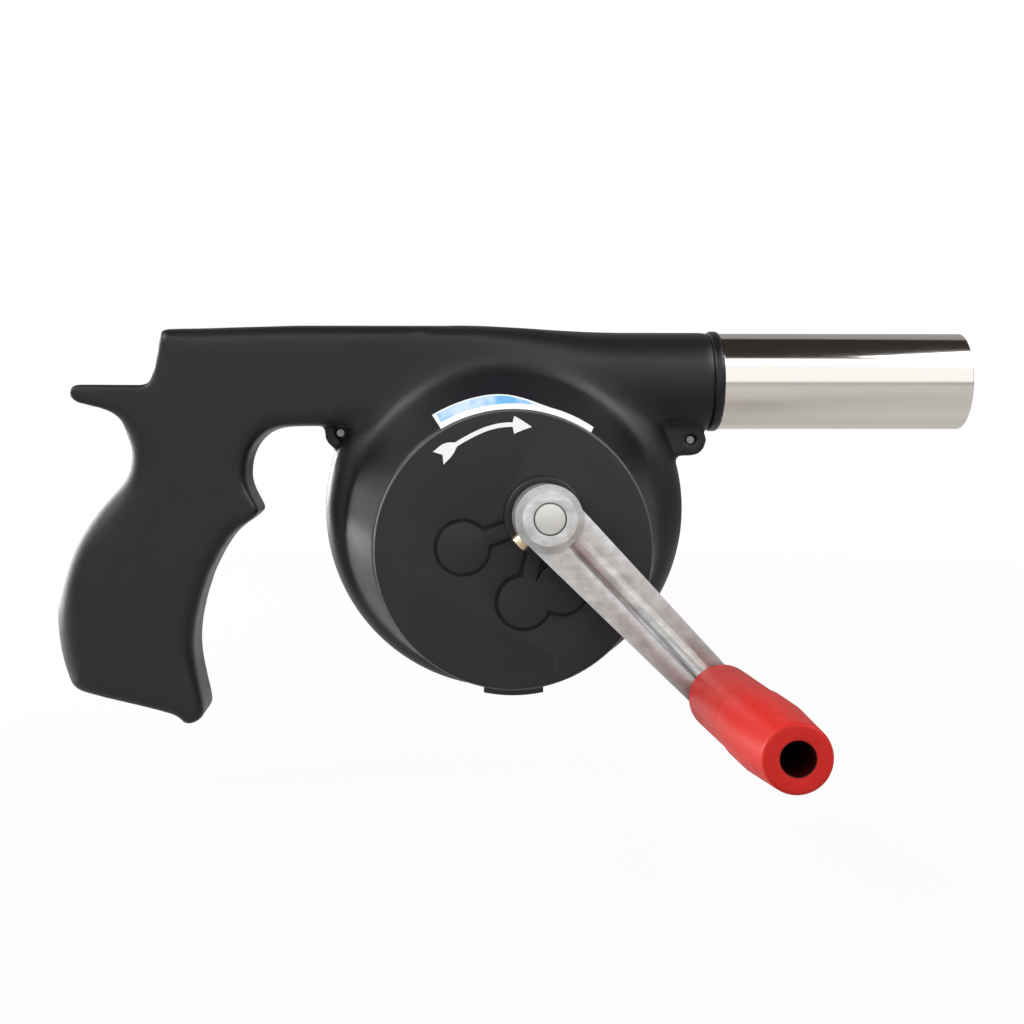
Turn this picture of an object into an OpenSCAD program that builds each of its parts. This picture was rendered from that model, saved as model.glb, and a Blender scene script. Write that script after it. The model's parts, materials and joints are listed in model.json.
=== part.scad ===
// Hand-cranked barbecue blower with a pistol grip, a gear train and a radial fan.
// +X points out of the nozzle, +Z up, and the crank is on the -Y side.
// The origin is where the hand holds the grip, on the plane where the two shells meet.
// A depth is a distance from that plane towards the crank, so y is minus the depth.

/* [Housing] */
// Distance from the hold point to the near edge of the round fan casing
casing_ahead = 42.7; // [40:0.1:46]
// Height of the fan axis above the hold point
fan_z = 14; // [12:0.5:17]
// Outer radius of the round fan casing
casing_r = 47.2; // [46:0.2:52]
// How far the casing's centre lies behind the fan axis
casing_back = 0.6; // [0:0.1:1.2]
// Depth of the casing on the inlet side
casing_rear = 20; // [18:0.5:24]
// Rounding of the casing's rims
casing_round = 11; // [10.6:0.1:11.3]
// Wall of the moulded shells
wall = 2.2; // [1.8:0.1:2.8]
// Half of the grip's thickness
grip_half = 13; // [12:0.5:13.2]
// Length of one step of the grip's outline
grip_unit = 10; // [9.5:0.1:10.5]

/* [Barrel and nozzle] */
// How far the tube axis lies below the casing's top
barrel_drop = 13.4; // [12:0.2:15]
// Height of the flat part of the barrel
barrel_h = 26.2; // [25:0.2:28]
// How far the flat part of the barrel sits above the tube axis
barrel_lift = 1.2; // [0:0.1:2]
// Rounding of the flat part's upper edges
barrel_edge = 4.5; // [3:0.5:6]
// Distance from the fan axis back to where the barrel starts to change its section
barrel_back = 14; // [10:0.5:20]
// Distance from the fan axis to where the barrel is round
barrel_round_reach = 30; // [26:0.5:36]
// Outer radius of the round end of the barrel
socket_r = 13; // [12.9:0.1:14]
// How far the barrel runs past the casing
socket_out = 7.1; // [5:0.1:16]
// Outer radius of the steel tube
tube_r = 12.7; // [12.3:0.1:12.8]
// Wall of the steel tube
tube_wall = 0.6; // [0.4:0.1:0.8]
// Length of the steel tube
tube_len = 65.5; // [50:0.5:90]
// Length of the spigot inside the tube
spigot_len = 14; // [10:0.5:20]
// Wall of the spigot
spigot_wall = 1.5; // [1.2:0.1:2]
// Width of the ring between barrel and tube
ring_w = 2.7; // [2:0.1:4]
// How far the ring stands out over the tube
ring_proud = 0.6; // [0.4:0.1:1]
// Rounding of the ring's edges
ring_edge = 0.8; // [0.4:0.1:1]

/* [Gear drum] */
// Radius of the round gear cover
cover_r = 35; // [34.5:0.1:37]
// Thickness of the gear cover
cover_t = 2; // [1.6:0.1:2.6]
// Depth of the cover's outer face
cover_depth = 30; // [29.5:0.1:32]
// Rounding of the cover's rim
cover_edge = 0.8; // [0.4:0.1:1]
// How far the cover's centre lies below the fan axis
drum_drop = 9.2; // [8:0.1:10]
// How much smaller the drum's foot is than the casing, in radius
drum_step = 4.9; // [4.6:0.1:5.2]
// How far the drum's foot is centred behind the fan axis
drum_base_back = 1.5; // [1.2:0.1:1.6]
// How far the drum's foot is centred below the fan axis
drum_base_drop = 1.5; // [1.3:0.1:1.8]
// Radius of the collar round the crank shaft
collar_r = 10; // [8.5:0.1:11]
// Height of the collar on the cover
collar_h = 4; // [3:0.1:5]
// Rounding of the collar's rim
collar_edge = 1; // [0.5:0.1:1.5]
// Radius of the raised axle bosses
boss_r = 6.3; // [5:0.1:6.6]
// Height of the raised axle bosses and their ribs
boss_h = 1; // [0.6:0.1:1.6]
// Width of the ribs between the collar and the bosses
rib_w = 3.6; // [2.5:0.1:5]
// Width of the fine groove round the bosses and ribs
moat_w = 0.9; // [0.4:0.1:1]
// Depth of the fine groove round the bosses and ribs
moat_t = 0.5; // [0.3:0.1:0.7]
// Width of the tab under the cover
tab_w = 14.8; // [10:0.1:18]
// How far the tab stands out of the cover's edge
tab_proud = 1.3; // [0.8:0.1:2]
// Distance of the cover's screw pillars from its centre
pillar_ring = 28.5; // [28:0.1:29]
// Radius of the cover's screw pillars
pillar_r = 3; // [2.6:0.1:3.2]
// Directions of the cover's screw pillars from its centre
pillar_angles = [112, 9, 240]; // [0:1:360]
// Height of the lip that centres the cover in the drum
lip_h = 1.5; // [1:0.1:2]

/* [Gears] */
// Module of all gears
gear_module = 0.8; // [0.78:0.01:0.81]
// Teeth of the wheel on the crank shaft
crank_teeth = 42; // [40:1:43]
// Teeth of the first gear's wheel
first_teeth = 39; // [37:1:40]
// Teeth of the third gear's wheel
third_teeth = 43; // [41:1:44]
// Teeth of every pinion
pinion_teeth = 12; // [11:1:13]
// Face width of the gears
gear_w = 3; // [2.6:0.1:3.1]
// Play between gears along their axles
gear_gap = 0.5; // [0.4:0.05:0.6]
// Play between tooth flanks in mesh
backlash = 0.18; // [0.12:0.01:0.3]
// Crank axis ahead of the fan axis
crank_dx = 7.3; // [6.8:0.1:7.6]
// Crank axis above the fan axis
crank_dz = -0.5; // [-1.5:0.1:0.5]
// Direction from the crank axis to the first axle
first_angle = 201.6; // [198:0.2:206]
// Direction from the first axle to the second
second_angle = -42; // [-45:0.2:-40]
// Radius of the gear axles
axle_r = 1; // [0.8:0.05:1.2]
// How deep the gear axles sit past the bulkhead's rear face
axle_seat = 0.8; // [0.6:0.1:0.9]

/* [Fan] */
// Radius of the impeller
impeller_r = 33; // [28:0.5:38]
// Number of blades
blade_count = 12; // [8:1:16]
// Thickness of a blade
blade_t = 1.4; // [1:0.1:2]
// Radius of a blade's bend
blade_bend_r = 29.7; // [26:0.1:34]
// How far the blades end inside the plate's edge
blade_inset = 0.6; // [0.4:0.1:2]
// Radius at which the blades start
blade_start_r = 13; // [11:0.5:16]
// Width of the blades
blade_w = 19; // [14:0.5:20]
// Thickness of the impeller's plate
plate_t = 1.5; // [1:0.1:2]
// Radius of the impeller's hub
hub_r = 6; // [5:0.1:7]
// Radius of the fan shaft
fan_shaft_r = 2; // [1.5:0.1:2.2]
// Wall of the fan shaft's bushes
bush_wall = 1.5; // [1:0.1:2]
// Length of the front bush's boss behind the bulkhead
fan_boss_h = 2.7; // [2.2:0.1:3]
// Number of air inlet slots
slot_count = 16; // [10:1:18]
// Width of an air inlet slot
slot_w = 3; // [2:0.1:3.2]
// Inner end of the air inlet slots
slot_start_r = 10.5; // [10.2:0.1:12]
// Outer end of the air inlet slots
slot_end_r = 28; // [22:0.5:32]

/* [Crank] */
// Radius of the crank shaft
crank_shaft_r = 4; // [3.5:0.1:4.4]
// Wall of the crank shaft's bush
crank_bush_wall = 2; // [1.5:0.1:2.5]
// How far the crank shaft's bush stands out of the collar
crank_bush_proud = 0.5; // [0.3:0.1:0.8]
// Gap between the collar and the arm's hub
arm_hub_gap = 1.5; // [1.2:0.1:2]
// Distance from the crank shaft to the knob
crank_reach = 59.6; // [50:0.1:70]
// Direction of the arm
crank_angle = -46.1; // [-180:0.1:180]
// Radius of the arm's hub
arm_hub_r = 8.2; // [7.6:0.1:9]
// Height of the arm's hub
arm_hub_h = 11; // [9.5:0.1:14]
// Radius of the raised ring on the hub
arm_ring_r = 6.6; // [5.8:0.1:7.2]
// Height of the raised ring on the hub
arm_ring_h = 2.4; // [1.5:0.1:4]
// Thickness of the arm
arm_t = 5; // [4:0.1:6]
// Width of the arm at the hub
arm_root_w = 15.4; // [14:0.1:15.6]
// How far the arm's root lies beside the hub's middle
arm_root_shift = 0.4; // [0:0.1:0.4]
// Radius of the arm's knob end
arm_end_r = 6.3; // [5.6:0.1:6.6]
// How far the arm's sides lie inside its round end
arm_tuck = 0.3; // [0.2:0.1:0.6]
// Width of the groove along the arm
groove_w = 4; // [3:0.1:5]
// Width of the groove's floor
groove_floor_w = 1.2; // [0.6:0.1:2]
// How far the groove lies beside the arm's middle
groove_shift = 0.4; // [0:0.1:1]
// Depth of the groove along the arm
groove_t = 1.1; // [0.6:0.1:1.6]
// Radius of the set screw
set_screw_r = 2; // [1.5:0.1:2.2]
// How much metal is left behind the set screw
set_screw_edge = 1.2; // [1:0.1:2]
// How far the set screw stands out of the hub
set_screw_proud = 0.8; // [0.4:0.1:1.2]

/* [Knob] */
// Length of the knob
knob_len = 76.5; // [55:0.5:85]
// Radius of the knob's thickest part
knob_r = 8.4; // [8.2:0.1:9]
// Radius of the knob's waist
knob_waist_r = 8.1; // [7.6:0.1:8.2]
// Radius of the knob's end
knob_end_r = 7.2; // [6.8:0.1:8]
// Distance from the knob's end to its waist
knob_end_len = 36; // [28:0.5:40]
// Length over which the knob narrows to its end
knob_taper_len = 22; // [14:0.5:26]
// Rounding of the knob's end
knob_edge = 1; // [0.5:0.1:1.5]
// Length of the knob's chamfered foot
knob_foot_len = 2.2; // [1:0.1:4]
// Radius of the pin that the knob turns on
knob_pin_r = 2.5; // [2:0.1:2.8]
// Height of the pin's head
knob_pin_head = 2; // [1.5:0.1:3]
// Radius of the hole in the knob's end
knob_hole_r = 3.5; // [3.3:0.1:4.4]
// Depth of the hole in the knob's end
knob_hole_len = 30; // [20:1:40]

/* [Screws] */
// Radius of the screws' shanks
screw_r = 1.4; // [1.2:0.05:1.6]
// Radius of the screws' heads
screw_head_r = 2.6; // [2.2:0.1:2.8]
// Height of the screws' heads
screw_head_h = 1.6; // [1.2:0.1:2]
// How far the screws end short of the plastic's outer face
screw_short = 1; // [0.8:0.1:1.4]
// Radius of the two ears below the barrel
ear_r = 4.2; // [4:0.1:5]
// Depth of each half of an ear
ear_depth = 6; // [5:0.5:8]
// How far the left ear's centre lies inside the casing's edge
left_ear_in = 4; // [3:0.1:4.4]
// Height of the left ear above the fan axis
left_ear_rise = 20.1; // [19:0.1:22]
// How far the right ear's centre lies outside the casing's edge
right_ear_out = 2; // [1:0.1:2.5]
// Height of the right ear above the fan axis
right_ear_rise = 18.2; // [16:0.1:19]

/* [Fits] */
// Radial play of turning shafts
run_fit = 0.05; // [0.02:0.01:0.08]
// Radial play of pieces that are pressed together
press_fit = 0.01; // [0.01:0.01:0.03]
// Gap between pieces that pass each other
free_gap = 0.3; // [0.3:0.05:0.4]

/* [Hidden] */
$fn = 72;

// Reach of cutting solids past the faces that they cut
over = 1;
// Step that keeps the barrel's skin just outside the grip's
skin = 0.1;
pressure_angle = 20;
pinion_shift = 0.3;

// Axes, as [x, z]
fan_x = casing_ahead + casing_r + casing_back;
fan = [fan_x, fan_z];
casing = fan - [casing_back, 0];
tube_z = fan_z + casing_r - barrel_drop;
drum = fan + [0, -drum_drop];
drum_base = fan - [drum_base_back, drum_base_drop];
drum_base_r = casing_r - drum_step;
crank = fan + [crank_dx, crank_dz];
first_axle = crank + mesh_distance(crank_teeth) * heading(first_angle);
second_axle = first_axle + mesh_distance(first_teeth) * heading(second_angle);
third_axle = circle_meet(fan, mesh_distance(third_teeth), second_axle,
    gear_module * (pinion_teeth + 2 * pinion_shift));
knob_axis = crank + crank_reach * heading(crank_angle);
pillars = [for (angle = pillar_angles) drum + pillar_ring * heading(angle)];
left_ear = casing + [left_ear_in - casing_r, left_ear_rise];
right_ear = casing + [right_ear_out + casing_r, right_ear_rise];
ears = [left_ear, right_ear];
grip_screws = [grip_unit * [0.7, 2.4], grip_unit * [-0.9, -2.9], [1.4 * grip_unit, tube_z + barrel_h / 4]];

// Barrel
barrel_top = tube_z + barrel_lift + barrel_h / 2;
barrel_bottom = tube_z + barrel_lift - barrel_h / 2;
barrel_start = fan_x - barrel_back;
grip_end = barrel_start + barrel_back / 2;
barrel_round = fan_x + barrel_round_reach;
socket_end = casing[0] + casing_r + socket_out;
spigot_r = tube_r - tube_wall - press_fit;
duct_r = spigot_r - spigot_wall;

// Depths of the gear layers, numbered from the cover to the fan
cover_back = cover_depth - cover_t;
function layer_front(layer) = cover_back - gear_gap - layer * (gear_w + gear_gap);
function layer_back(layer) = layer_front(layer) - gear_w;
bulkhead_front = layer_back(3) - gear_gap;
bulkhead_back = bulkhead_front - wall;
casing_front = bulkhead_front + gear_gap;
drum_foot = casing_front - 2 * wall;

// Depths on the fan shaft
fan_boss_back = bulkhead_back - fan_boss_h;
rear_wall = -casing_rear + wall;
rear_boss_front = rear_wall + 3 * wall;
plate_front = fan_boss_back - gear_gap;
hub_back = rear_boss_front + 3 * gear_gap;
bush_r = fan_shaft_r + run_fit + bush_wall;
boss_outer_r = bush_r + wall;

// Depths on the crank shaft
collar_front = cover_depth + collar_h;
crank_bush_r = crank_shaft_r + run_fit + crank_bush_wall;
arm_hub_back = collar_front + arm_hub_gap;
arm_front = arm_hub_back + arm_hub_h;
arm_back = arm_front - arm_t;
ring_front = arm_front + arm_ring_h;
knob_foot = arm_front + free_gap;
knob_end = knob_foot + knob_len;
knob_seat = knob_end - knob_hole_len;
axle_tip = cover_depth - moat_t;

// Outline of the grip and the rear of the barrel, from the barrel's top round the back of the hand
// and up the finger side. Each point is [x, z, rounding of the edge there], in steps of the grip's unit.
// The first part is measured from the barrel's top, the second from the hold point and the last from
// the barrel's underside.
outline_top = [
    [3.6, 0, 0.45], [1, -0.08, 0.45], [0.2, -0.11, 0.35], [0, -0.3, 0.3], [-0.14, -1.08, 0.25],
    [-0.26, -1.5, 0.15], [-0.45, -1.56, 0.1], [-1.8, -1.55, 0.1], [-2.18, -1.58, 0.1], [-2.28, -1.75, 0.1],
    [-2.1, -2, 0.1], [-1.47, -2.16, 0.15], [-0.99, -2.44, 0.3]];
outline_hold = [
    [-0.82, 3.07, 0.6], [-0.99, 2.3, 0.8], [-1.62, 1.6, 0.9], [-2.27, 0.7, 0.9], [-2.65, -0.32, 0.9],
    [-2.77, -1.34, 0.9], [-2.65, -2.38, 0.9], [-2.4, -3.02, 0.7], [-2.05, -3.3, 0.4], [-0.67, -3.64, 0.3],
    [0.42, -3.93, 0.25], [0.58, -4.12, 0.2], [0.83, -4.14, 0.2], [1.1, -3.96, 0.2], [1.12, -3.64, 0.25],
    [0.9, -2.54, 0.4], [0.91, -1.55, 0.4], [1.26, -0.27, 0.4], [1.82, 0.72, 0.35], [2.28, 1.1, 0.2],
    [2.58, 1.36, 0.12], [2.49, 1.6, 0.15], [2.25, 2.19, 0.3]];
outline_under = [
    [2.33, -0.73, 0.3], [2.65, -0.25, 0.3], [3.18, -0.01, 0.3], [4.4, 0, 0.3]];
function raised(outline, height) = [for (p = outline) grip_unit * p + [0, height, 0]];
grip_outline = concat(raised(outline_top, barrel_top), raised(outline_hold, 0),
    raised(outline_under, barrel_bottom));

// Geometry helpers
function heading(angle) = [cos(angle), sin(angle)];
function polar(radius, angle) = radius * heading(angle);
function mix(a, b, t) = a + (b - a) * t;

// The meeting point of two circles that lies to the right of the line from the first centre to the second.
function circle_meet(c1, r1, c2, r2) =
    let (d = norm(c2 - c1), u = (c2 - c1) / d, a = (d * d + r1 * r1 - r2 * r2) / (2 * d),
        h = sqrt(r1 * r1 - a * a))
    c1 + a * u + h * [-u[1], u[0]];

// A smooth curve through points, as a Catmull-Rom spline.
function spline_at(p0, p1, p2, p3, t) =
    (2 * p1 + (p2 - p0) * t + (2 * p0 - 5 * p1 + 4 * p2 - p3) * t * t
        + (3 * p1 - p0 - 3 * p2 + p3) * t * t * t) / 2;
function smooth_path(points, steps) =
    let (last = len(points) - 1)
    concat([for (i = [0:last - 1], k = [0:steps - 1])
        spline_at(points[max(i - 1, 0)], points[i], points[i + 1], points[min(i + 2, last)], k / steps)],
        [points[last]]);

// Unit normal that points out of an outline drawn anticlockwise.
function outward(points, i) =
    let (n = len(points), step = points[(i + 1) % n] - points[(i + n - 1) % n])
    [step[1], -step[0]] / norm([step[0], step[1]]);

// Triangles that fill a flat outline drawn anticlockwise, cut off one corner at a time.
function turn_of(a, b, c) = (b[0] - a[0]) * (c[1] - a[1]) - (b[1] - a[1]) * (c[0] - a[0]);
function covers(a, b, c, p) = turn_of(a, b, p) >= 0 && turn_of(b, c, p) >= 0 && turn_of(c, a, p) >= 0;
function corner_is_free(points, left, k) =
    let (n = len(left), a = left[(k + n - 1) % n], b = left[k], c = left[(k + 1) % n],
        others = [for (j = left) if (j != a && j != b && j != c) points[j]],
        inside = [for (p = others) if (covers(points[a], points[b], points[c], p)) p])
    turn_of(points[a], points[b], points[c]) > 0 && len(inside) == 0;
function free_corner(points, left, k) =
    k >= len(left) - 1 || corner_is_free(points, left, k) ? k : free_corner(points, left, k + 1);
function fill(points, left) =
    let (n = len(left), k = free_corner(points, left, 0))
    n == 3 ? [left]
        : concat([[left[(k + n - 1) % n], left[k], left[(k + 1) % n]]],
            fill(points, [for (j = [0:n - 1]) if (j != k) left[j]]));

// A closed skin over flat rings of equal length, which run anticlockwise as seen from the last ring's side.
// The two coordinates named in flat are those that change within a ring.
module skin_over(rings, flat) {
    n = len(rings[0]);
    last = len(rings) - 1;
    function cap(ring) = fill([for (p = ring) [p[flat[0]], p[flat[1]]]], [for (i = [0:n - 1]) i]);
    sides = [for (j = [0:last - 1], i = [0:n - 1])
        let (a = j * n + i, b = j * n + (i + 1) % n)
        each [[a, a + n, b + n], [a, b + n, b]]];
    last_cap = [for (t = cap(rings[last])) [t[2], t[1], t[0]] + last * n * [1, 1, 1]];
    polyhedron([for (ring = rings) each ring], concat(sides, cap(rings[0]), last_cap), convexity = 6);
}

// A cylinder along Y between two depths.
module rod(axis, depth_a, depth_b, radius) {
    translate([axis[0], -depth_a, axis[1]]) rotate([90, 0, 0]) cylinder(h = depth_b - depth_a, r = radius);
}

// A solid of revolution about Y, from a profile of [radius, depth].
module turned(axis) {
    translate([axis[0], 0, axis[1]]) rotate([90, 0, 0]) rotate_extrude() children();
}

// A flat outline in X and Z that is drawn out between two depths.
module drawn(depth_a, depth_b) {
    translate([0, -depth_a, 0]) rotate([90, 0, 0]) linear_extrude(depth_b - depth_a) children();
}

// A cylinder along the barrel.
module pipe_core(x_a, x_b, radius) {
    translate([x_a, 0, tube_z]) rotate([0, 90, 0]) cylinder(h = x_b - x_a, r = radius);
}

// The crank-side half of a cylinder along the barrel.
module half_pipe(x_a, x_b, radius) {
    intersection() {
        pipe_core(x_a, x_b, radius);
        translate([x_a - over, -radius - over, tube_z - radius - over])
            cube([x_b - x_a + 2 * over, radius + over, 2 * (radius + over)]);
    }
}

// Involute gears
function mesh_distance(teeth) = gear_module * (teeth + pinion_teeth) / 2;
function involute(base, radius) = sqrt(pow(radius / base, 2) - 1) * 180 / PI - acos(base / radius);
function tooth_half_angle(teeth, shift, radius) =
    let (pitch = gear_module * teeth / 2, base = pitch * cos(pressure_angle))
    90 / teeth * (1 + 4 * shift * tan(pressure_angle) / PI) - backlash / 4 / pitch * 180 / PI
        + involute(base, pitch) - involute(base, max(radius, base));
function tooth_radii(teeth, shift) =
    let (pitch = gear_module * teeth / 2, base = pitch * cos(pressure_angle),
        root = pitch - gear_module * (1.25 - shift), tip = pitch + gear_module * (1 + shift),
        start = max(base, root))
    concat([root], [for (k = [0:3]) mix(start, tip, k / 3)]);
function gear_points(teeth, shift) =
    let (radii = tooth_radii(teeth, shift), top = len(radii) - 1)
    [for (i = [0:teeth - 1]) each concat(
        [for (k = [0:top]) polar(radii[k], i * 360 / teeth - tooth_half_angle(teeth, shift, radii[k]))],
        [for (k = [top:-1:0]) polar(radii[k], i * 360 / teeth + tooth_half_angle(teeth, shift, radii[k]))])];

// Toothed disc between two depths, with one tooth pointing in the direction turn.
module toothed(axis, depth_a, depth_b, teeth, shift, turn) {
    translate([axis[0], -depth_a, axis[1]]) rotate([90, 0, 0]) rotate([0, 0, turn])
        linear_extrude(depth_b - depth_a) polygon(gear_points(teeth, shift));
}

// Directions of the tooth that meets the next gear, worked out along the train so that all are in mesh.
function bearing(from, to) = atan2(to[1] - from[1], to[0] - from[0]);
function meshed_turn(turn, line, teeth, next_teeth) =
    line + 180 + ((line - turn) * teeth - 180) / next_teeth;
crank_line = bearing(crank, first_axle);
first_line = bearing(first_axle, second_axle);
second_line = bearing(second_axle, third_axle);
third_line = bearing(third_axle, fan);
first_pinion_turn = meshed_turn(crank_line, crank_line, crank_teeth, pinion_teeth);
second_turn = meshed_turn(first_line, first_line, first_teeth, pinion_teeth);
third_pinion_turn = meshed_turn(second_turn, second_line, pinion_teeth, pinion_teeth);
fan_pinion_turn = meshed_turn(third_line, third_line, third_teeth, pinion_teeth);

// Housing shapes that both shells share, on the crank side of the parting plane
module grip_half_body() {
    path = concat(smooth_path(grip_outline, 2),
        [[grip_end, barrel_bottom, barrel_edge], [grip_end, barrel_top, barrel_edge]]);
    function ring_point(i, bend) =
        let (p = path[i], n = outward(path, i), inset = p[2] * (1 - cos(bend)))
        [p[0] - n[0] * inset, -(grip_half - p[2] + p[2] * sin(bend)), p[1] - n[1] * inset];
    count = len(path);
    skin_over(concat([[for (p = path) [p[0], 0, p[1]]]],
        [for (bend = [0:22.5:90]) [for (i = [0:count - 1]) ring_point(i, bend)]]), [0, 2]);
}

// The barrel changes from a flat-sided section to the round socket, and then runs straight.
module barrel_half_body() {
    function section(x, s) =
        let (top = mix(barrel_top + skin, tube_z + socket_r, s),
            low = mix(barrel_bottom - skin, tube_z - socket_r, s),
            half = mix(grip_half + skin, socket_r, s), round_r = mix(barrel_edge, socket_r - skin, s),
            upper = [round_r - half, top - round_r], lower = [round_r - half, low + round_r])
        concat([[x, 0, top]],
            [for (a = [90:10:180]) let (p = upper + polar(round_r, a)) [x, p[0], p[1]]],
            [for (a = [180:10:270]) let (p = lower + polar(round_r, a)) [x, p[0], p[1]]],
            [[x, 0, low]]);
    skin_over(concat([for (t = [0:0.2:1]) section(mix(barrel_start, barrel_round, t), t * t * (3 - 2 * t))],
        [section(socket_end, 1)]), [1, 2]);
}

// A flat round box about the casing's axis with a rounded rim, which starts at a depth of 0 or below
module casing_form(radius, depth, rim, start = 0) {
    turned(casing) {
        translate([0, start]) square([radius, depth - rim - start]);
        square([radius - rim, depth]);
        translate([radius - rim, depth - rim]) intersection() {
            circle(rim);
            square(rim);
        }
    }
}

module casing_hollow(depth) {
    casing_form(casing_r - wall, depth, casing_round - wall, -over);
}

module ear_halves() {
    for (ear = ears) rod(ear, 0, ear_depth, ear_r);
    web_start = casing[0] + casing_r - 2 * ear_r;
    translate([web_start, -ear_depth, right_ear[1] - ear_r])
        cube([right_ear[0] - web_start, ear_depth, 2 * ear_r]);
}

module shell_half(depth) {
    grip_half_body();
    barrel_half_body();
    half_pipe(socket_end - over, socket_end + ring_w + spigot_len, spigot_r);
    casing_form(casing_r, depth, casing_round);
    ear_halves();
}

// Hollows of the grip and the barrel, open at the parting plane
module pockets() {
    pocket_depth = grip_half - 1.5 * wall;
    translate([-1.7 * grip_unit, -pocket_depth, -2 * grip_unit])
        cube([2.1 * grip_unit, pocket_depth + over, 3.2 * grip_unit]);
    translate([2 * grip_unit, -pocket_depth, barrel_bottom + 2 * wall])
        cube([casing_ahead - 2 * grip_unit, pocket_depth + over, barrel_h - 4 * wall]);
}

module duct() {
    pipe_core(fan_x, socket_end + ring_w + spigot_len + over, duct_r);
}

// A ring of points on a circle, at a depth
function drum_ring(axis, depth, radius) =
    [for (i = [0:$fn - 1]) let (p = axis + polar(radius, i * 360 / $fn)) [p[0], -depth, p[1]]];

// The drum leans from its foot in the casing to the cover's axis.
function drum_share(depth) = (depth - drum_foot) / (cover_back - drum_foot);
function drum_section(depth, inset) = drum_ring(mix(drum_base, drum, drum_share(depth)), depth,
    mix(drum_base_r, cover_r, drum_share(depth)) - inset);

module drum_body() {
    skin_over([drum_section(drum_foot, 0), drum_section(cover_back, 0)], [0, 2]);
}

module drum_hollow() {
    skin_over([drum_section(bulkhead_front, wall), drum_section(cover_back, wall),
        drum_ring(drum, cover_back + over, cover_r - wall)], [0, 2]);
}

module front_shell() {
    first_post_top = layer_back(1) - gear_gap;
    color("#1b1b1d") difference() {
        union() {
            difference() {
                union() {
                    shell_half(casing_front);
                    drum_body();
                }
                casing_hollow(bulkhead_back);
                drum_hollow();
                duct();
                pockets();
            }
            rod(fan, fan_boss_back, bulkhead_back + wall / 2, boss_outer_r);
            rod(first_axle, bulkhead_back + wall / 2, first_post_top, 3 * axle_r);
            rod(third_axle, bulkhead_back - 2 * axle_seat, bulkhead_back + wall / 2, 3 * axle_r);
            rod(third_axle, bulkhead_back + wall / 2, bulkhead_front + gear_gap - free_gap, 2.5 * axle_r);
        }
        rod(fan, fan_boss_back - over, bulkhead_front + over, bush_r + press_fit);
        rod(first_axle, bulkhead_back + axle_seat, first_post_top + over, axle_r + press_fit);
        rod(third_axle, bulkhead_back - axle_seat, bulkhead_front + over, axle_r + press_fit);
        for (pillar = pillars) rod(pillar, bulkhead_back - over, bulkhead_front + over, screw_r + free_gap);
        for (pillar = pillars) rod(pillar, 0, bulkhead_back, screw_head_r + free_gap);
        for (ear = ears) rod(ear, -over, ear_depth + over, screw_r + press_fit);
        for (spot = grip_screws) rod(spot, -over, grip_half - 2 * wall, screw_r + press_fit);
    }
}

module rear_shell() {
    color("#1b1b1d") difference() {
        union() {
            difference() {
                mirror([0, 1, 0]) shell_half(casing_rear);
                mirror([0, 1, 0]) casing_hollow(casing_rear - wall);
                duct();
                mirror([0, 1, 0]) pockets();
            }
            rod(fan, rear_wall - wall / 2, rear_boss_front, boss_outer_r);
        }
        rod(fan, rear_wall - wall / 2, rear_boss_front + over, bush_r + press_fit);
        for (i = [0:slot_count - 1]) inlet_slot(i * 360 / slot_count);
        for (ear = ears) screw_hole(ear, ear_depth);
        for (spot = grip_screws) screw_hole(spot, 2 * wall);
    }
}

module inlet_slot(angle) {
    translate([fan_x, casing_rear + over, fan_z]) rotate([90, 0, 0]) rotate([0, 0, angle])
        linear_extrude(wall + 2 * over) {
            translate([slot_start_r, -slot_w / 2]) square([slot_end_r - slot_start_r, slot_w]);
            for (r = [slot_start_r, slot_end_r]) translate([r, 0]) circle(slot_w / 2);
        }
}

// Hole for a screw that comes in from behind, with its head seated at a distance behind the parting plane
module screw_hole(spot, seat) {
    rod(spot, -seat - over, over, screw_r + free_gap);
    rod(spot, -grip_half - over, -seat + screw_head_h, screw_head_r + free_gap);
}

module gear_cover() {
    color("#202022") difference() {
        union() {
            turned(drum) {
                translate([0, cover_back]) square([cover_r, cover_t - cover_edge]);
                translate([0, cover_back]) square([cover_r - cover_edge, cover_t]);
                translate([cover_r - cover_edge, cover_depth - cover_edge]) circle(cover_edge);
            }
            drawn(cover_back, cover_depth - cover_t / 4) intersection() {
                translate(drum) circle(cover_r + tab_proud);
                translate([drum[0] - tab_w / 2, drum[1] - cover_r - 2 * tab_proud]) square([tab_w, cover_r]);
            }
            turned(drum) translate([cover_r - 2 * wall, cover_back - lip_h])
                square([wall - free_gap / 2, lip_h + cover_t / 2]);
            turned(crank) {
                translate([0, cover_depth - over]) square([collar_r, collar_h + over - collar_edge]);
                translate([0, cover_depth]) square([collar_r - collar_edge, collar_h]);
                translate([collar_r - collar_edge, collar_front - collar_edge]) circle(collar_edge);
            }
            drawn(cover_depth - over, cover_depth + boss_h) boss_plan();
            rod(second_axle, layer_front(1) + gear_gap, cover_depth - over, 3 * axle_r);
            for (pillar = pillars) rod(pillar, bulkhead_front, cover_depth - over, pillar_r);
        }
        drawn(cover_depth - moat_t, cover_depth + over) difference() {
            boss_plan(moat_w);
            boss_plan();
            translate(crank) circle(collar_r);
        }
        rod(crank, cover_back - over, collar_front + over, crank_bush_r + press_fit);
        for (axis = [first_axle, third_axle]) rod(axis, cover_back - over, axle_tip, axle_r + press_fit);
        rod(second_axle, layer_front(1) + gear_gap - over, axle_tip, axle_r + press_fit);
        for (pillar = pillars)
            rod(pillar, bulkhead_front - over, cover_back - screw_short, screw_r + press_fit);
    }
}

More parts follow.
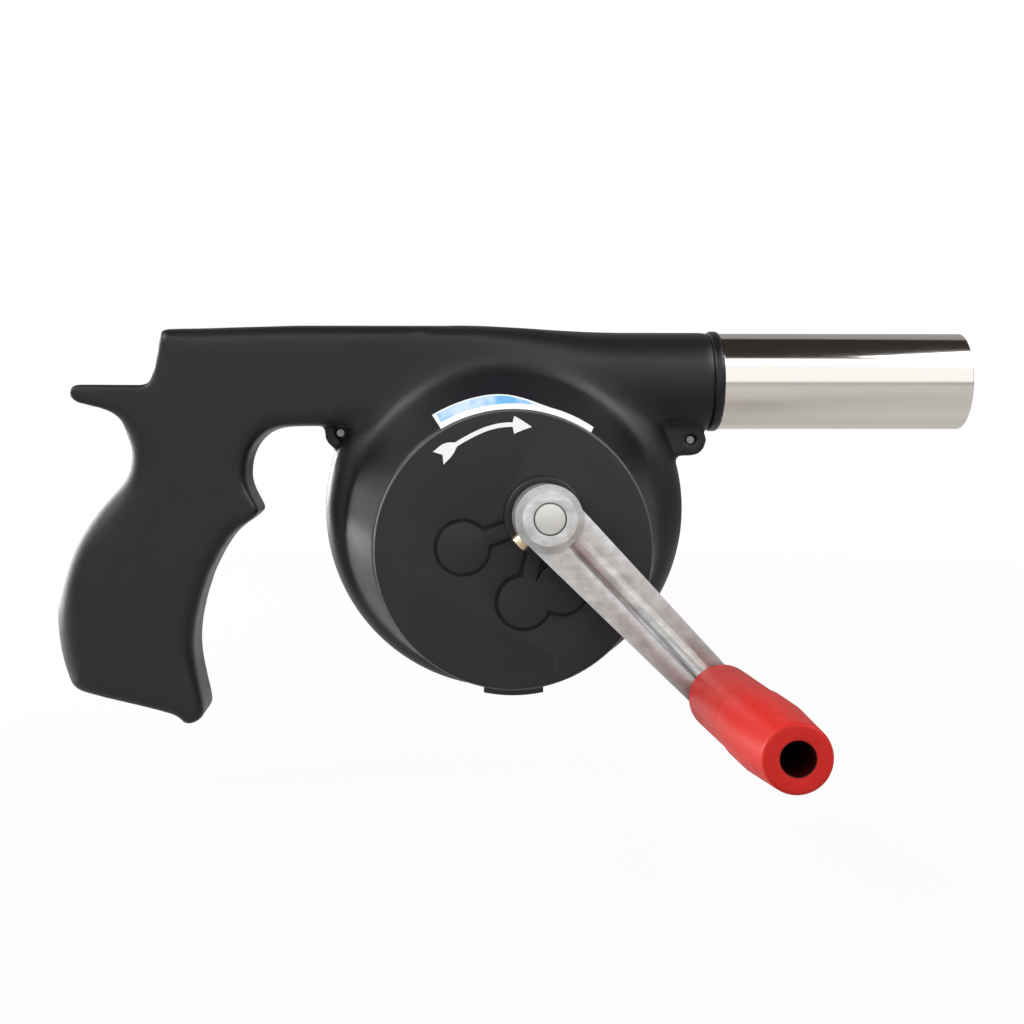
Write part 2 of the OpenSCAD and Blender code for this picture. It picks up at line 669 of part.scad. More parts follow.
// Plan of the three axle bosses and the two ribs that join them to the collar, wider all round by a margin
module boss_plan(margin = 0) {
    for (axis = [first_axle, second_axle, third_axle]) translate(axis) circle(boss_r + margin);
    rib(crank, first_axle, rib_w + 2 * margin);
    rib(crank, second_axle, rib_w + 2 * margin);
}

// Straight rib between two axes, in plan
module rib(from, to, width) {
    translate(from) rotate(bearing(from, to)) translate([0, -width / 2]) square([norm(to - from), width]);
}

module nozzle_ring() {
    outer = tube_r + ring_proud;
    color("#151517") translate([socket_end, 0, tube_z]) rotate([0, 90, 0]) rotate_extrude() {
        difference() {
            union() {
                translate([0, ring_edge]) square([outer, ring_w - 2 * ring_edge]);
                square([outer - ring_edge, ring_w]);
                for (h = [ring_edge, ring_w - ring_edge])
                    translate([outer - ring_edge, h]) circle(ring_edge);
            }
            translate([-over, -over]) square([spigot_r + press_fit + over, ring_w + 2 * over]);
        }
    }
}

module nozzle_tube() {
    start = socket_end + ring_w;
    color("#cfcac2") difference() {
        pipe_core(start, start + tube_len, tube_r);
        pipe_core(start - over, start + tube_len + over, tube_r - tube_wall);
    }
}

// A screw whose head is behind its shank
module screw(spot, head_back, tip) {
    rod(spot, head_back, head_back + screw_head_h, screw_head_r);
    rod(spot, head_back + screw_head_h / 2, tip, screw_r);
}

module housing_screws() {
    color("#b9bcc0") {
        for (ear = ears) screw(ear, -ear_depth, ear_depth - screw_short);
        for (spot = grip_screws) screw(spot, -2 * wall, grip_half - 3 * wall);
    }
}

module cover_screws() {
    color("#b9bcc0") for (pillar = pillars)
        screw(pillar, bulkhead_back - screw_head_h, cover_back - 3 * screw_short);
}

module bush(axis, depth_a, depth_b, outer, bore) {
    difference() {
        rod(axis, depth_a, depth_b, outer);
        rod(axis, depth_a - over, depth_b + over, bore);
    }
}

module crank_bush() {
    color("#c6a15a")
        bush(crank, cover_back, collar_front + crank_bush_proud, crank_bush_r, crank_shaft_r + run_fit);
}

module fan_bush_front() {
    color("#c6a15a") bush(fan, fan_boss_back, bulkhead_front, bush_r, fan_shaft_r + run_fit);
}

module fan_bush_rear() {
    color("#c6a15a") bush(fan, rear_wall - wall / 2, rear_boss_front, bush_r, fan_shaft_r + run_fit);
}

module first_gear_axle() {
    color("#a9adb2") rod(first_axle, bulkhead_back + axle_seat, axle_tip, axle_r);
}

module second_gear_axle() {
    color("#a9adb2") rod(second_axle, layer_back(2), axle_tip, axle_r);
}

module third_gear_axle() {
    color("#a9adb2") rod(third_axle, bulkhead_back - axle_seat, axle_tip, axle_r);
}

// Plan of the arm: its round end, and sides that run from there into the hub
module arm_plan() {
    tip = arm_end_r - arm_tuck;
    translate(crank) rotate(crank_angle) {
        translate([crank_reach, 0]) circle(arm_end_r);
        polygon([[0, -arm_root_w / 2 - arm_root_shift], [crank_reach, -tip], [crank_reach, tip],
            [0, arm_root_w / 2 - arm_root_shift]]);
    }
}

// The groove has sloping sides and runs from the hub to under the knob.
module arm_groove() {
    translate([crank[0], -arm_front, crank[1]]) rotate([0, -crank_angle, 0])
        translate([arm_hub_r, 0, groove_shift]) rotate([90, 0, 90])
            linear_extrude(crank_reach - arm_hub_r - arm_end_r + over)
                polygon([[groove_t, -groove_floor_w / 2], [groove_t, groove_floor_w / 2], [0, groove_w / 2],
                    [-over, groove_w / 2], [-over, -groove_w / 2], [0, -groove_w / 2]]);
}

set_screw_depth = arm_hub_back + set_screw_r + set_screw_edge;
set_screw_angle = crank_angle - 90;

// A cylinder that points away from the crank axis, square to it
module set_screw_core(start, end, radius) {
    translate([crank[0], -set_screw_depth, crank[1]]) rotate([0, 90 - set_screw_angle, 0])
        translate([0, 0, start]) cylinder(h = end - start, r = radius);
}

module crank_arm() {
    color("#a8a9a6") difference() {
        union() {
            drawn(arm_back, arm_front) arm_plan();
            rod(crank, arm_hub_back, arm_front, arm_hub_r);
            rod(crank, arm_front - over, ring_front, arm_ring_r);
        }
        arm_groove();
        rod(crank, arm_hub_back - over, ring_front + over, crank_shaft_r + press_fit);
        rod(knob_axis, arm_back - over, arm_front + over, knob_pin_r + press_fit);
        set_screw_core(0, arm_hub_r + over, set_screw_r + press_fit);
    }
}

module crank_shaft() {
    color("#b4b4b0") rod(crank, layer_back(0), ring_front, crank_shaft_r);
}

module crank_gear() {
    color("#e4e0d2") difference() {
        toothed(crank, layer_back(0), layer_front(0), crank_teeth, -pinion_shift, crank_line);
        rod(crank, layer_back(0) - over, layer_front(0) + over, crank_shaft_r + press_fit);
    }
}

module crank_set_screw() {
    color("#c9a24c") difference() {
        set_screw_core(crank_shaft_r + free_gap, arm_hub_r + set_screw_proud, set_screw_r);
        rod(crank, arm_hub_back - over, ring_front, crank_shaft_r + press_fit);
    }
}

module knob_pin() {
    color("#9fa2a6") {
        rod(knob_axis, arm_back, knob_seat + free_gap, knob_pin_r);
        rod(knob_axis, knob_seat + free_gap, knob_seat + free_gap + knob_pin_head, knob_hole_r - free_gap);
    }
}

module crank_knob() {
    neck = knob_end - knob_end_len;
    rim = knob_end - knob_edge;
    color("#d22a22") difference() {
        turned(knob_axis) {
            polygon([[0, knob_foot], [knob_waist_r - knob_foot_len / 2, knob_foot],
                [knob_waist_r, knob_foot + knob_foot_len], [knob_waist_r, neck - 2 * knob_foot_len],
                [knob_r, neck], [knob_r, knob_end - knob_taper_len], [knob_end_r, rim], [0, rim]]);
            translate([0, rim - over]) square([knob_end_r - knob_edge, knob_edge + over]);
            translate([knob_end_r - knob_edge, rim]) circle(knob_edge);
        }
        rod(knob_axis, knob_foot - over, knob_seat + over, knob_pin_r + run_fit);
        rod(knob_axis, knob_seat, knob_end + over, knob_hole_r);
    }
}

module first_gear() {
    color("#e4e0d2") difference() {
        union() {
            toothed(first_axle, layer_front(1), layer_front(0), pinion_teeth, pinion_shift,
                first_pinion_turn);
            toothed(first_axle, layer_back(1), layer_front(1), first_teeth, -pinion_shift, first_line);
        }
        rod(first_axle, layer_back(1) - over, layer_front(0) + over, axle_r + run_fit);
    }
}

module second_gear() {
    color("#e4e0d2") difference() {
        toothed(second_axle, layer_back(2), layer_front(1), pinion_teeth, pinion_shift, second_turn);
        rod(second_axle, layer_back(2) - over, layer_front(1) + over, axle_r + run_fit);
    }
}

module third_gear() {
    color("#e4e0d2") difference() {
        union() {
            rod(third_axle, layer_back(3), layer_front(1), 2.6 * axle_r);
            toothed(third_axle, layer_front(3), layer_front(2), pinion_teeth, pinion_shift,
                third_pinion_turn);
            toothed(third_axle, layer_back(3), layer_front(3), third_teeth, -pinion_shift, third_line);
        }
        rod(third_axle, layer_back(3) - over, layer_front(1) + over, axle_r + run_fit);
    }
}

module fan_shaft() {
    color("#b4b4b0") rod(fan, rear_wall - wall / 2 + gear_gap, layer_front(3), fan_shaft_r);
}

module fan_pinion() {
    color("#e4e0d2") difference() {
        toothed(fan, layer_back(3), layer_front(3), pinion_teeth, pinion_shift, fan_pinion_turn);
        rod(fan, layer_back(3) - over, layer_front(3) + over, fan_shaft_r + press_fit);
    }
}

// One blade in plan: a slice of a ring that leans back against the turn
module blade_plan(angle) {
    rotate(angle) intersection() {
        translate([blade_start_r, blade_bend_r]) difference() {
            circle(blade_bend_r);
            circle(blade_bend_r - blade_t);
        }
        difference() {
            circle(impeller_r - blade_inset);
            circle(blade_start_r);
        }
        translate([0, -blade_t]) square(impeller_r);
    }
}

module impeller() {
    plate_back = plate_front - plate_t;
    color("#2b2c2e") difference() {
        union() {
            rod(fan, plate_back, plate_front, impeller_r);
            rod(fan, hub_back, plate_front, hub_r);
            translate([fan_x, 0, fan_z]) drawn(plate_back - blade_w, plate_back + plate_t / 2)
                for (i = [0:blade_count - 1]) blade_plan(i * 360 / blade_count);
        }
        rod(fan, hub_back - over, plate_front + over, fan_shaft_r + press_fit);
    }
}

front_shell();
rear_shell();
gear_cover();
nozzle_ring();
nozzle_tube();
housing_screws();
cover_screws();
crank_bush();
fan_bush_front();
fan_bush_rear();
first_gear_axle();
second_gear_axle();
third_gear_axle();
crank_arm();
crank_shaft();
crank_gear();
crank_set_screw();
knob_pin();
crank_knob();
first_gear();
second_gear();
third_gear();
fan_shaft();
fan_pinion();
impeller();
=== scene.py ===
"""Looks of a hand-cranked blower: housing, printed cover, cast crank, knob, tube and a plain studio."""
import json
import math

import bmesh
import bpy
from mathutils import Matrix, Vector
from mathutils.bvhtree import BVHTree


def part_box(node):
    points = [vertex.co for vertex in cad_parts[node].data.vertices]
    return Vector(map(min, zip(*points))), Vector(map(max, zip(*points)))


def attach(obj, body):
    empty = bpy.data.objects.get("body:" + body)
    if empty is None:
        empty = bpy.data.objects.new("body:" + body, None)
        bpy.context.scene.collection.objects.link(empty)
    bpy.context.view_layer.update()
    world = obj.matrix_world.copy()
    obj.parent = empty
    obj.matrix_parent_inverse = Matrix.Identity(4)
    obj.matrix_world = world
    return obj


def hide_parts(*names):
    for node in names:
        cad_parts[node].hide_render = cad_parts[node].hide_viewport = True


bl_info = {
    "name": "Barbecue blower looks",
    "version": (1, 0, 0),
    "blender": (4, 5, 0),
    "location": "View3D > Sidebar > Blower",
    "description": "Builds the visible pieces of a hand-cranked blower round its packed frame",
    "category": "Object",
}

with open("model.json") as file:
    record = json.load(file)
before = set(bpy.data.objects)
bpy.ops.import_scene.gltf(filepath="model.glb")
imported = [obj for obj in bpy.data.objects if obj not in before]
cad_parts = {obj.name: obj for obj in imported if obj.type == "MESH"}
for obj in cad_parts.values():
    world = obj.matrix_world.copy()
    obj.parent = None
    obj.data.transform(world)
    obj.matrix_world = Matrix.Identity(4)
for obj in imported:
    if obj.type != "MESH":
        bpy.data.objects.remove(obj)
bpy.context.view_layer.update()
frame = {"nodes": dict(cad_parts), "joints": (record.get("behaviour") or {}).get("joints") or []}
MM = 0.001
FULL_TURN = 2 * math.pi
SENSOR_MM = 36

# Distances below which points are welded, seams of spun forms close and slivers are dissolved
WELD = 0.001 * MM
SEAM = 0.0005 * MM
SLIVER = 0.0002 * MM

# How far each shell stays from the parting plane, and how far out the cover's channels reach
PARTING = 0.05 * MM
CHANNEL_R = 31 * MM

# Rounded edges: their steps, and the angle in degrees below which faces count as one flat
EDGE_STEPS = 3
FLAT_ANGLE = 0.6

# Pitch of the rings on turned metal
RING_PITCH = 0.28 * MM

# Inner radii of the label's border and field, in millimetres
BORDER_IN = 35.2
FIELD_IN = 36.6

# The arm's groove: how far its floor moves across on the far and the near side, in millimetres
GROOVE_SHIFT = (-1.3, -0.9)

# The set screw's head: how much longer and wider it is finished
SCREW_EXTRA = 0.9 * MM
SCREW_SWELL = 1.1

# Colours that no property holds
WHITE = (1, 1, 1, 1)
FLOOR_PAINT = (0.445, 0.437, 0.425, 1)
WALL_GREY = (0.5, 0.49, 0.48)
CEILING_GREY = (0.05, 0.042, 0.036)
# Painted shade for the arm's groove and hub bevel
CAST_PAINTED_SHADE = (0.1, 0.1, 0.095)
# Painted highlight beside the arm's groove
CAST_PAINTED_HIGHLIGHT = (0.97, 0.97, 0.95)
CAST_SHADE = (0.12, 0.115, 0.11)
GREASE = (0.42, 0.33, 0.2)

# Soft lamps: name, place, aim, size, and the studio's property with the brightness
LAMPS = (
    ("front_panel", (0.15, -1.25, 0.5), (0.1, 0, 0.02), (2.4, 1.7), "panel"),
    ("top_panel", (0.1, -0.9, 0.98), (0.1, 0, 0.02), (1.7, 0.36), "top_panel"),
    ("left_panel", (-0.62, 0.43, 0.19), (0.05, 0, 0.02), (0.84, 0.48), "left_panel"),
    ("left_box", (-0.53, -0.32, 0.64), (0.06, 0, 0.05), (0.5, 0.5), "side_box"),
    ("right_box", (0.72, -0.32, 0.64), (0.13, 0, 0.05), (0.5, 0.5), "side_box"),
)

# Axes of the turning pieces, from the frame
AXIS = {joint["name"]: Vector(joint["pos_m"]) for joint in frame["joints"]}
FAN = AXIS["rotor_turn"]
CRANK = AXIS["crank_turn"]
KNOB = AXIS["knob_spin"]
ARM = Vector((KNOB.x - CRANK.x, 0, KNOB.z - CRANK.z))

# The round cover: its box also holds the tab below it and the collar in front of it
COVER_LOW, COVER_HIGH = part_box("gear_cover")
COVER_R = (COVER_HIGH.x - COVER_LOW.x) / 2
COVER_AT = Vector((COVER_LOW.x + COVER_R, 0, COVER_HIGH.z - COVER_R))

TUBE_LOW, TUBE_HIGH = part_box("nozzle_tube")
TUBE_R = (TUBE_HIGH.z - TUBE_LOW.z) / 2
TUBE_Z = (TUBE_HIGH.z + TUBE_LOW.z) / 2
RING_LOW, RING_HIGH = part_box("nozzle_ring")


class BlowerSizes(bpy.types.PropertyGroup):
    """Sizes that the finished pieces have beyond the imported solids"""

    skin_step: bpy.props.FloatProperty(
        name="Skin step", description="Mesh step of the moulded housing", default=0.75 * MM, unit="LENGTH")
    cover_face: bpy.props.FloatProperty(
        name="Cover face", description="Depth of the cover's flat face", default=30 * MM, unit="LENGTH")
    moat: bpy.props.FloatProperty(
        name="Channel", description="Depth of the channels round the cover's bosses", default=0.5 * MM,
        unit="LENGTH")
    moat_extra: bpy.props.FloatProperty(
        name="Deeper channel", description="How much deeper the finished channels are", default=0.7 * MM,
        unit="LENGTH")
    print_lift: bpy.props.FloatProperty(
        name="Print lift", description="Thickness of the printed label and arrow", default=0.06 * MM,
        unit="LENGTH")
    edge: bpy.props.FloatProperty(
        name="Edge", description="Rounding of the cover's small edges", default=0.3 * MM, unit="LENGTH")
    groove_floor: bpy.props.FloatProperty(
        name="Groove floor", description="Depth at which the arm's groove ends", default=45.4 * MM,
        unit="LENGTH")
    cast_edge: bpy.props.FloatProperty(
        name="Cast edge", description="Rounding of the arm's cast edges", default=0.9 * MM, unit="LENGTH")
    knob_hole: bpy.props.FloatProperty(
        name="Knob hole", description="Radius of the hole in the knob's end", default=3.5 * MM, unit="LENGTH")
    screw_head: bpy.props.FloatProperty(
        name="Screw head", description="Height of the screws' heads", default=1.6 * MM, unit="LENGTH")
    screw_shank: bpy.props.FloatProperty(
        name="Screw shank", description="Radius of the screws' shanks", default=1.4 * MM, unit="LENGTH")
    floor_drop: bpy.props.FloatProperty(
        name="Floor", description="Height of the floor below the hold point", default=62 * MM, unit="LENGTH")


class BlowerColours(bpy.types.PropertyGroup):
    """Colours of the finishes"""

    housing: bpy.props.FloatVectorProperty(
        name="Housing", description="Black of the moulded shells", subtype="COLOR",
        default=(0.0082, 0.0082, 0.0105))
    cover: bpy.props.FloatVectorProperty(
        name="Cover", description="Black of the gear cover", subtype="COLOR",
        default=(0.0125, 0.0125, 0.0128))
    knob: bpy.props.FloatVectorProperty(
        name="Knob", description="Red of the crank's knob", subtype="COLOR", default=(0.5, 0.017, 0.012))
    cast: bpy.props.FloatVectorProperty(
        name="Arm", description="Grey of the cast arm", subtype="COLOR", default=(0.67, 0.68, 0.68))
    tube: bpy.props.FloatVectorProperty(
        name="Tube", description="Tint of the polished tube", subtype="COLOR", default=(0.8, 0.77, 0.73))
    brass: bpy.props.FloatVectorProperty(
        name="Brass", description="Brass of the bushes", subtype="COLOR", default=(0.72, 0.53, 0.27))
    set_screw: bpy.props.FloatVectorProperty(
        name="Set screw", description="Pale brass of the set screw", subtype="COLOR",
        default=(0.8, 0.67, 0.46))
    steel: bpy.props.FloatVectorProperty(
        name="Steel", description="Grey of shafts and screws", subtype="COLOR", default=(0.58, 0.58, 0.57))
    gear: bpy.props.FloatVectorProperty(
        name="Gears", description="Natural plastic of the gears", subtype="COLOR", default=(0.72, 0.68, 0.57))
    print_white: bpy.props.FloatVectorProperty(
        name="White print", description="White of the label and arrow", subtype="COLOR",
        default=(0.76, 0.78, 0.8))
    print_blue: bpy.props.FloatVectorProperty(
        name="Blue print", description="Blue of the label", subtype="COLOR", default=(0.14, 0.38, 0.68))


class BlowerStudio(bpy.types.PropertyGroup):
    """Camera and light of the studio"""

    camera_at: bpy.props.FloatVectorProperty(
        name="Camera", description="Place of the camera", subtype="XYZ", default=(0.06116, -0.43859, 0.03351))
    camera_turn: bpy.props.FloatVectorProperty(
        name="Turn", description="Turn of the camera to the right, up and about its line of sight, in degrees",
        size=3, default=(2.1302, -1.4751, -0.052))
    camera_shift: bpy.props.FloatVectorProperty(
        name="Shift", description="Shift of the picture across the line of sight, in picture widths", size=2,
        default=(0.0537, -0.0337))
    lens: bpy.props.FloatProperty(
        name="Lens", description="Focal length on a 36 mm sensor, in millimetres", default=57.906)
    panel: bpy.props.FloatProperty(
        name="Panel", description="Brightness of the white panel behind the camera", default=0.88)
    top_panel: bpy.props.FloatProperty(
        name="Top panel", description="Brightness of the light box above the camera", default=1.3)
    surround: bpy.props.FloatProperty(
        name="Surround", description="Brightness of the room's walls", default=0.75)
    left_panel: bpy.props.FloatProperty(
        name="Left panel", description="Brightness of the white panel behind on the left", default=15.0)
    side_box: bpy.props.FloatProperty(
        name="Side boxes", description="Brightness of the light boxes above on the left and right",
        default=6.8)


# Shader nodes

class Sock:
    """A number that varies over a surface, for use in sums."""

    def __init__(self, finish, out):
        self.finish = finish
        self.out = out

    def sum(self, operation, *others):
        return self.finish.add("ShaderNodeMath", {"operation": operation}, dict(enumerate((self,) + others)))

    def __add__(self, other):
        return self.sum("ADD", other)

    __radd__ = __add__

    def __mul__(self, other):
        return self.sum("MULTIPLY", other)

    __rmul__ = __mul__

    def __sub__(self, other):
        return self.sum("SUBTRACT", other)

    def __rsub__(self, other):
        return self.finish.add("ShaderNodeMath", {"operation": "SUBTRACT"}, {0: other, 1: self})

    def __truediv__(self, other):
        return self.sum("DIVIDE", other)

    def least(self, other):
        return self.sum("MINIMUM", other)

    def sine(self):
        return self.sum("SINE")

    def ramp(self, low, high):
        """0 below low, 1 above high and smooth between."""
        return self.finish.add("ShaderNodeMapRange", {"interpolation_type": "SMOOTHSTEP"},
                               {"Value": self, "From Min": low, "From Max": high})


class Finish:
    """A node tree that is built up node by node."""

    def __init__(self, tree):
        self.tree = tree
        tree.nodes.clear()

    def add(self, kind, settings=None, values=None, out=0):
        """Adds a node, sets it up, fills or links its sockets and gives back one of its outputs."""
        node = self.tree.nodes.new(kind)
        for key, value in (settings or {}).items():
            setattr(node, key, value)
        for key, value in (values or {}).items():
            if isinstance(value, Sock):
                self.tree.links.new(value.out, node.inputs[key])
            else:
                node.inputs[key].default_value = value
        return Sock(self, node.outputs[out]) if node.outputs else None

    def place(self, scale=(1, 1, 1), turn=(0, 0, 0)):
        """Object coordinates, stretched or turned."""
        where = self.add("ShaderNodeTexCoord", out="Object")
        return self.add("ShaderNodeMapping", {}, {"Vector": where, "Rotation": turn, "Scale": scale})

    def noise(self, where, scale, detail=3, rough=0.55):
        return self.add("ShaderNodeTexNoise", {},
                        {"Vector": where, "Scale": scale, "Detail": detail, "Roughness": rough})

    def split(self, where):
        node = self.tree.nodes.new("ShaderNodeSeparateXYZ")
        self.tree.links.new(where.out, node.inputs[0])
        return [Sock(self, out) for out in node.outputs]

    def radius(self, where, at):
        """Distance from an axis along Y."""
        x, y, z = self.split(where)
        across, up = x - at.x, z - at.z
        return (across * across + up * up).sum("SQRT")

    def mix(self, share, first, second):
        """A colour between two colours."""
        def colour(value):
            return value if isinstance(value, Sock) else tuple(value) + (1,)
        return self.add("ShaderNodeMix", {"data_type": "RGBA"},
                        {0: share, 6: colour(first), 7: colour(second)}, out=2)

    def bump(self, height, depth, strength=1.0):
        return self.add("ShaderNodeBump", {}, {"Height": height, "Distance": depth, "Strength": strength})

    def surface(self, **sockets):
        """A Principled surface as the material's output."""
        names = {"Base_Color": "Base Color", "Coat_Weight": "Coat Weight", "Coat_Roughness": "Coat Roughness",
                 "Specular": "Specular IOR Level"}
        values = {names.get(key, key): value for key, value in sockets.items()}
        shader = self.add("ShaderNodeBsdfPrincipled", {}, values)
        self.add("ShaderNodeOutputMaterial", {}, {"Surface": shader})


def new_finish(name):
    material = bpy.data.materials.new(name)
    material.use_nodes = True
    return material, Finish(material.node_tree)


def scaled(colour, factor):
    return tuple(min(1, channel * factor) for channel in colour)


def moulded_black(name, colour, rough, grain_scale, grain_depth, rim=None):
    """Black moulded plastic: a fine grain, changes of sheen, rubbed streaks and perhaps a painted highlight
    along a round rim.
    """
    material, f = new_finish(name)
    where = f.place()
    grain = f.noise(where, grain_scale, 2)
    cloud = f.noise(where, 45, 3)
    rub = f.noise(f.place(scale=(1, 1, 0.12), turn=(0.3, 0.5, 0.9)), 420, 4, 0.7).ramp(0.60, 0.72)
    # Here only wear: rubbed streaks where the cloud is high
    wear_and_painted_light = rub * cloud.ramp(0.45, 0.7)
    base = f.mix(wear_and_painted_light * 0.5 + cloud * 0.35, scaled(colour, 0.85), scaled(colour, 1.9))
    if rim:
        at, radius = rim
        out = f.radius(where, at)
        # Painted highlight: a lighter band along the round rim, uneven along its length
        rim_highlight = out.ramp(radius - 0.5 * MM, radius - 0.2 * MM) * (1 - out.ramp(radius, radius + 0.1 * MM))
        base = f.mix(rim_highlight * (cloud * 0.8 + 0.4), base, scaled(colour, 9))
    f.surface(
        Base_Color=base,
        Roughness=rough + (cloud - 0.5) * 0.14 + wear_and_painted_light * 0.1 + (grain - 0.5) * 0.08,
        Specular=0.3,
        Normal=f.bump(grain + wear_and_painted_light * 0.6, grain_depth, 0.6))
    return material


def red_plastic(colour, hole_r):
    """Red moulded plastic with a soft sheen, faint flow marks along the knob and painted shade inside the hole.
    """
    material, f = new_finish("knob_red")
    where = f.place()
    flow = f.noise(f.place(scale=(1, 0.08, 1)), 260, 3)
    grain = f.noise(where, 1500, 2)
    grime = f.noise(where, 90, 4, 0.65).ramp(0.52, 0.75)
    # Painted shade: the knob's hole is coloured near black, for the shade deep inside it
    hole_shade = 1 - f.radius(where, KNOB).ramp(hole_r + 0.1 * MM, hole_r + 0.35 * MM)
    red = f.mix(flow * 0.5 + grime * 0.35, colour, scaled(colour, 0.72))
    f.surface(
        Base_Color=f.mix(hole_shade, red, scaled(colour, 0.06)),
        Roughness=0.42 + (flow - 0.5) * 0.12 + grime * 0.12,
        Specular=0.15,
        Normal=f.bump(grain * 0.5 + flow, 0.05 * MM, 0.5))
    return material


def cast_metal(colour):
    """Dull die-cast metal: mottled and pitted, with painted shade in the groove and on the hub bevel, and a
    painted highlight by the groove.
    """
    material, f = new_finish("cast_grey")
    where = f.place()
    patch = f.noise(where, 280, 5, 0.65)
    streak = f.noise(f.place(scale=(0.15, 1, 1), turn=(0, math.atan2(ARM.z, ARM.x), 0)), 320, 4, 0.6)
    pit = f.noise(where, 1100, 3).ramp(0.62, 0.72)
    shade = patch * 0.6 + streak * 0.5
    x, y, z = f.split(where)
    reach = ((x - CRANK.x) * ARM.x + (z - CRANK.z) * ARM.z) / ARM.length_squared
    side = ((z - CRANK.z) * ARM.x - (x - CRANK.x) * ARM.z) / ARM.length
    on_arm = reach.ramp(0.14, 0.2)
    # Painted shade: a dark line along one wall of the arm's groove
    groove_shade = on_arm * side.ramp(-2.0 * MM, -1.4 * MM) * (1 - side.ramp(-0.5 * MM, 0.3 * MM))
    # Painted highlight: a bright line beside the other wall of the groove
    painted_highlight = on_arm * side.ramp(1.1 * MM, 1.7 * MM) * (1 - side.ramp(2.6 * MM, 3.1 * MM))
    hub = f.radius(where, CRANK)
    # Painted shade: the hub's bevel is darkened
    bevel = hub.ramp(6.3 * MM, 6.9 * MM) * (1 - hub.ramp(8.2 * MM, 9.0 * MM))
    plain = f.mix(reach.ramp(0.2, 1.0), scaled(colour, 1.08), scaled(colour, 0.68))
    # Painted shade of the groove and the hub bevel; the groove's grows stronger towards the knob
    painted_shade = groove_shade * (reach.ramp(0.4, 0.9) * 0.45 + 0.4) + bevel * 0.3
    # Painted shade and painted highlight laid over the plain grey
    wear_and_painted_light = f.mix(painted_highlight * 0.9, f.mix(painted_shade, plain, CAST_PAINTED_SHADE), CAST_PAINTED_HIGHLIGHT)
    f.surface(
        Base_Color=f.mix(shade.ramp(0.35, 0.8), f.mix(0.45, wear_and_painted_light, CAST_SHADE), wear_and_painted_light),
        Metallic=0.9,
        Roughness=0.36 + patch * 0.2 + pit * 0.15,
        Normal=f.bump(patch * 0.7 + streak * 0.5 - pit * 0.8, 0.12 * MM, 0.5))
    return material


def polished_tube(colour):
    """Polished thin steel with faint drawing lines along the tube."""
    material, f = new_finish("tube_polish")
    lines = f.noise(f.place(scale=(0.02, 1, 1)), 1400, 3, 0.6)
    smear = f.noise(f.place(), 55, 4)
    f.surface(
        Base_Color=f.mix(smear * 0.4, colour, scaled(colour, 0.86)),
        Metallic=1.0,
        Roughness=0.075 + smear * 0.05 + lines * 0.03,
        Normal=f.bump(lines, 0.004 * MM, 0.35))
    return material


def turned_metal(name, colour, rough, axis_at, painted_shade_from=1.0):
    """Turned metal with fine rings about an axis along Y, with painted shade beyond a radius."""
    material, f = new_finish(name)
    radius = f.radius(f.place(), axis_at)
    rings = (radius * (FULL_TURN / RING_PITCH)).sine() * 0.5 + 0.5
    patch = f.noise(f.place(), 300, 4)
    plain = f.mix(patch * 0.7 + rings * 0.15, colour, scaled(colour, 0.7))
    f.surface(
        Base_Color=f.mix(radius.ramp(painted_shade_from, painted_shade_from + 0.3 * MM), plain, scaled(colour, 0.15)),
        Metallic=1.0,
        Roughness=rough + patch * 0.14,
        Normal=f.bump(rings * 0.6 + patch, 0.02 * MM, 0.4))
    return material


def natural_plastic(colour):
    """Pale gear plastic with a trace of grease."""
    material, f = new_finish("gear_natural")
    where = f.place()
    grease = f.noise(where, 180, 4).ramp(0.5, 0.72)
    grain = f.noise(where, 1300, 2)
    f.surface(
        Base_Color=f.mix(grease * 0.5, colour, GREASE),
        Roughness=0.48 - grease * 0.2,
        Normal=f.bump(grain, 0.03 * MM, 0.4))
    return material


def print_ink(name, colour, worn_colour):
    """Printed ink that is a little broken where it is rubbed."""
    material, f = new_finish(name)
    where = f.place()
    rub = f.noise(where, 700, 4, 0.7).ramp(0.63, 0.74)
    cloud = f.noise(where, 160, 3)
    f.surface(
        Base_Color=f.mix(rub * 0.7 + cloud * 0.25, colour, worn_colour),
        Roughness=0.42 + cloud * 0.12,
        Normal=f.bump(cloud, 0.02 * MM, 0.3))
    return material


def label_ink(colour, pale):
    """Blue print that pales in soft bands along the label."""
    material, f = new_finish("label_blue")
    where = f.place()
    band = f.noise(f.place(scale=(1, 0.3, 0.6)), 150, 3).ramp(0.4, 0.62)
    rub = f.noise(where, 700, 4, 0.7).ramp(0.63, 0.74)
    f.surface(
        Base_Color=f.mix(band * 0.55 + rub * 0.3, colour, pale),
        Roughness=0.34 + rub * 0.2,
        Normal=f.bump(band, 0.01 * MM, 0.3))
    return material


# Meshes

def node_copy(*nodes):
    """The solids of CAD nodes, copied and merged into closed meshes."""
    bm = bmesh.new()
    for node in nodes:
        bm.from_mesh(frame["nodes"][node].data)
    bmesh.ops.remove_doubles(bm, verts=bm.verts, dist=WELD)
    return bm


def made(bm, name, body, material, stands_for=(), crease=35):
    """Turns a bmesh into a finished piece that rides on a body."""
    mesh = bpy.data.meshes.new(name)
    bm.normal_update()
    bm.to_mesh(mesh)
    bm.free()
    mesh.shade_smooth()
    mesh.set_sharp_from_angle(angle=math.radians(crease))
    mesh.materials.clear()
    mesh.materials.append(material)
    piece = bpy.data.objects.new(name, mesh)
    bpy.context.scene.collection.objects.link(piece)
    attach(piece, body)
    if stands_for:
        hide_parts(*stands_for)
    return piece


def dress(material, *nodes):
    """Gives CAD nodes that stay as they are their finish."""
    for node in nodes:
        mesh = frame["nodes"][node].data
        mesh.materials.clear()
        mesh.materials.append(material)


